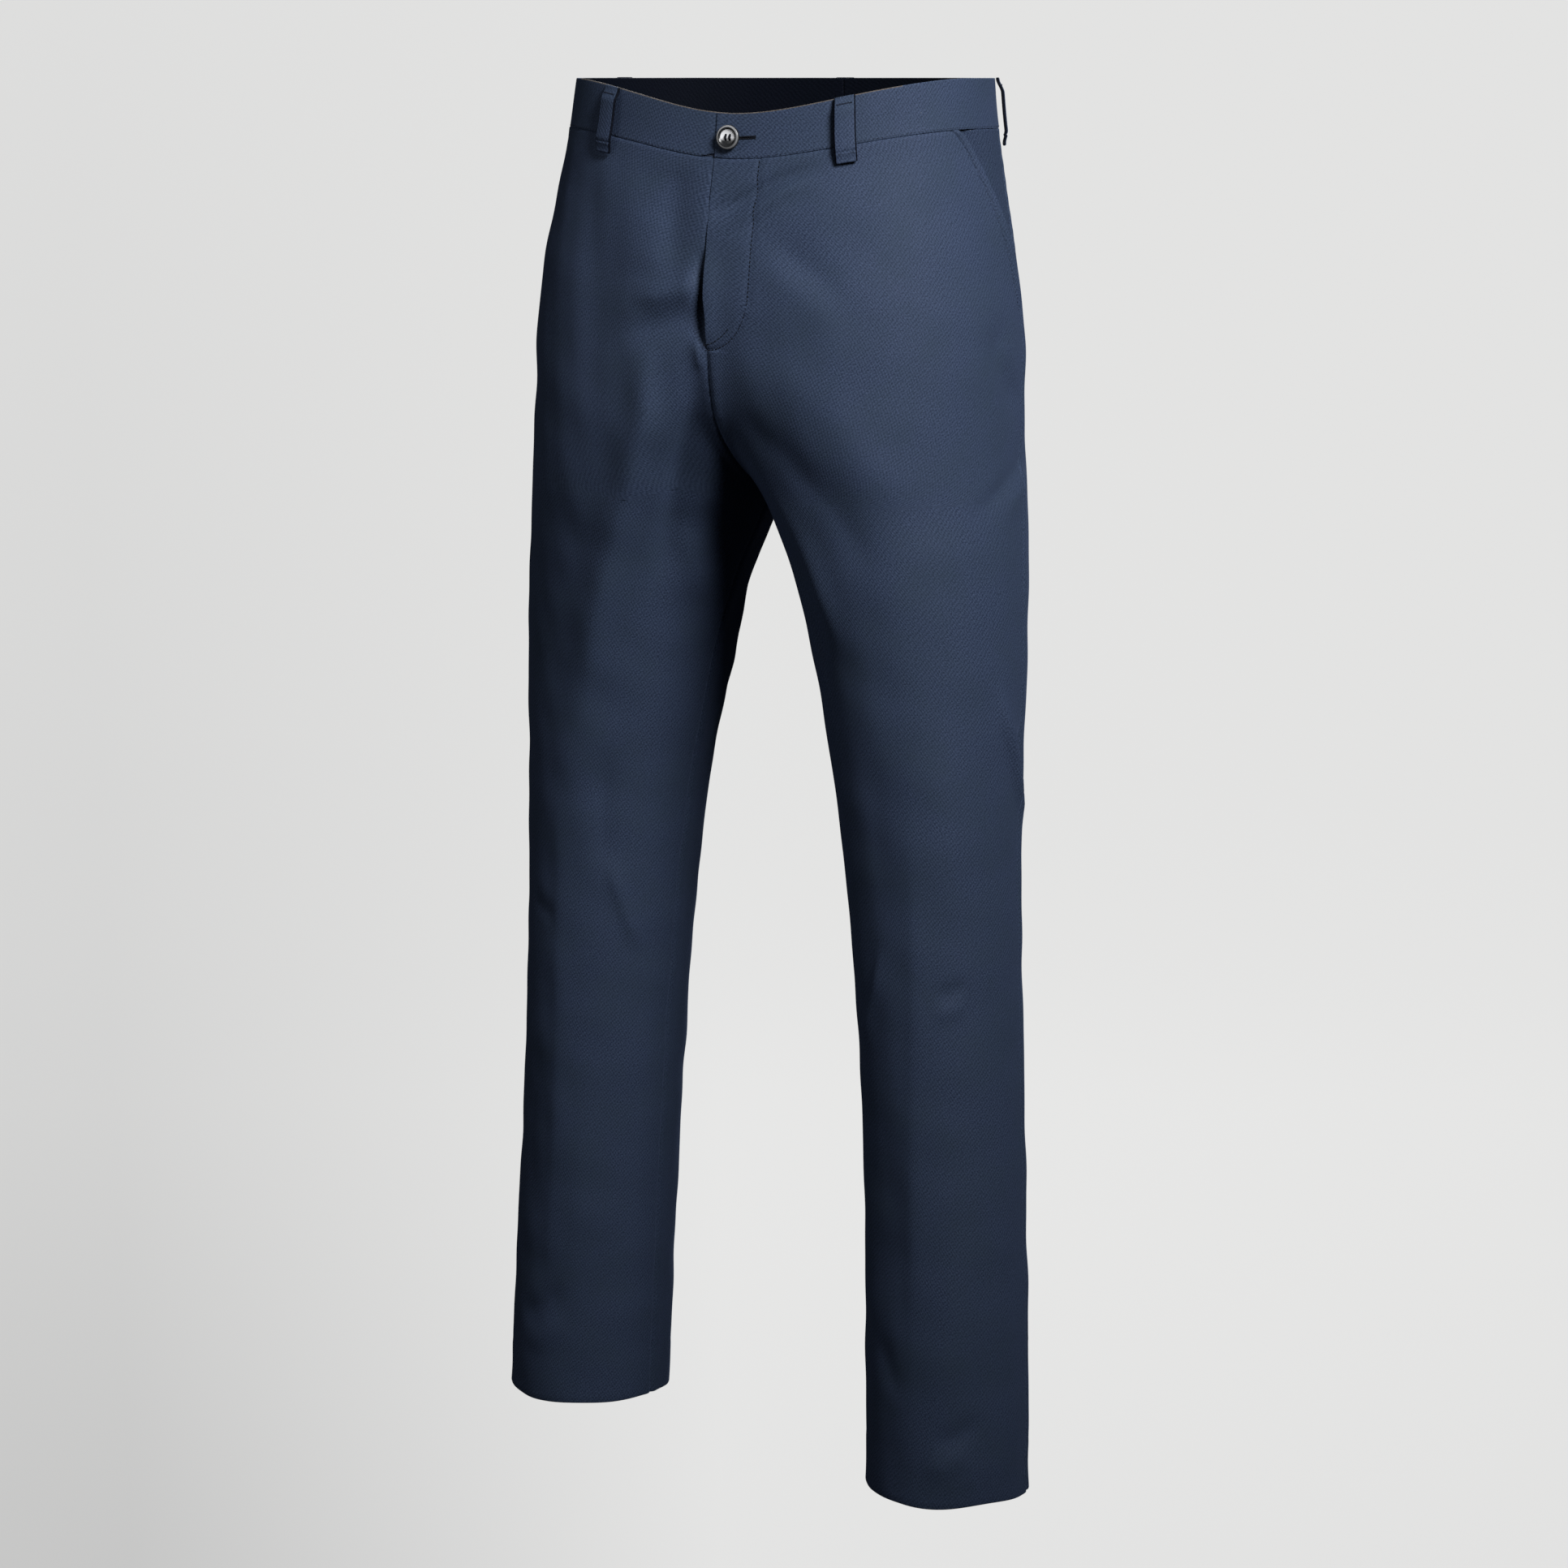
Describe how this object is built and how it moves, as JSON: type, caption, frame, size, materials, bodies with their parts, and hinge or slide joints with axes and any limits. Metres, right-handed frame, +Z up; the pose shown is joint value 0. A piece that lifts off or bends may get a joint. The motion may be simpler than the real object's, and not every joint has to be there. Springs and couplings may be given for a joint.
{
  "type": "chino trousers",
  "caption": "Navy twill chino trousers in worn, hollow form, with slant pockets, lapped fly, belt loops and a buttoned waistband; open at the waist and hems.",
  "frame": {"origin": "centre of the waist, half way up the waistband, where the wearer holds the trousers up", "axes": "+Z up the body, -Y to the front, +X to the wearer's left"},
  "size_m": [0.4674, 0.2509, 1.06],
  "materials": {
    "cloth": "navy cotton twill with a soft satin sheen",
    "button": "glossy smoke grey, dished, with a raised rim",
    "thread": "dark navy sewing thread"
  },
  "bodies": {
    "root": {"front_left_upper": "cloth", "front_left_lower": "cloth", "front_right_upper": "cloth", "front_right_lower": "cloth", "back_left_upper": "cloth", "back_left_lower": "cloth", "back_right_upper": "cloth", "back_right_lower": "cloth", "pocket_facing_left": "cloth", "pocket_facing_right": "cloth", "fly_shield": "cloth", "waistband_left": "cloth", "waistband_right": "cloth", "loop_front_left": "cloth", "loop_front_right": "cloth", "loop_side_left": "cloth", "loop_side_right": "cloth", "loop_back": "cloth", "button": "button", "button_shank": "thread"}
  },
  "joints": []
}
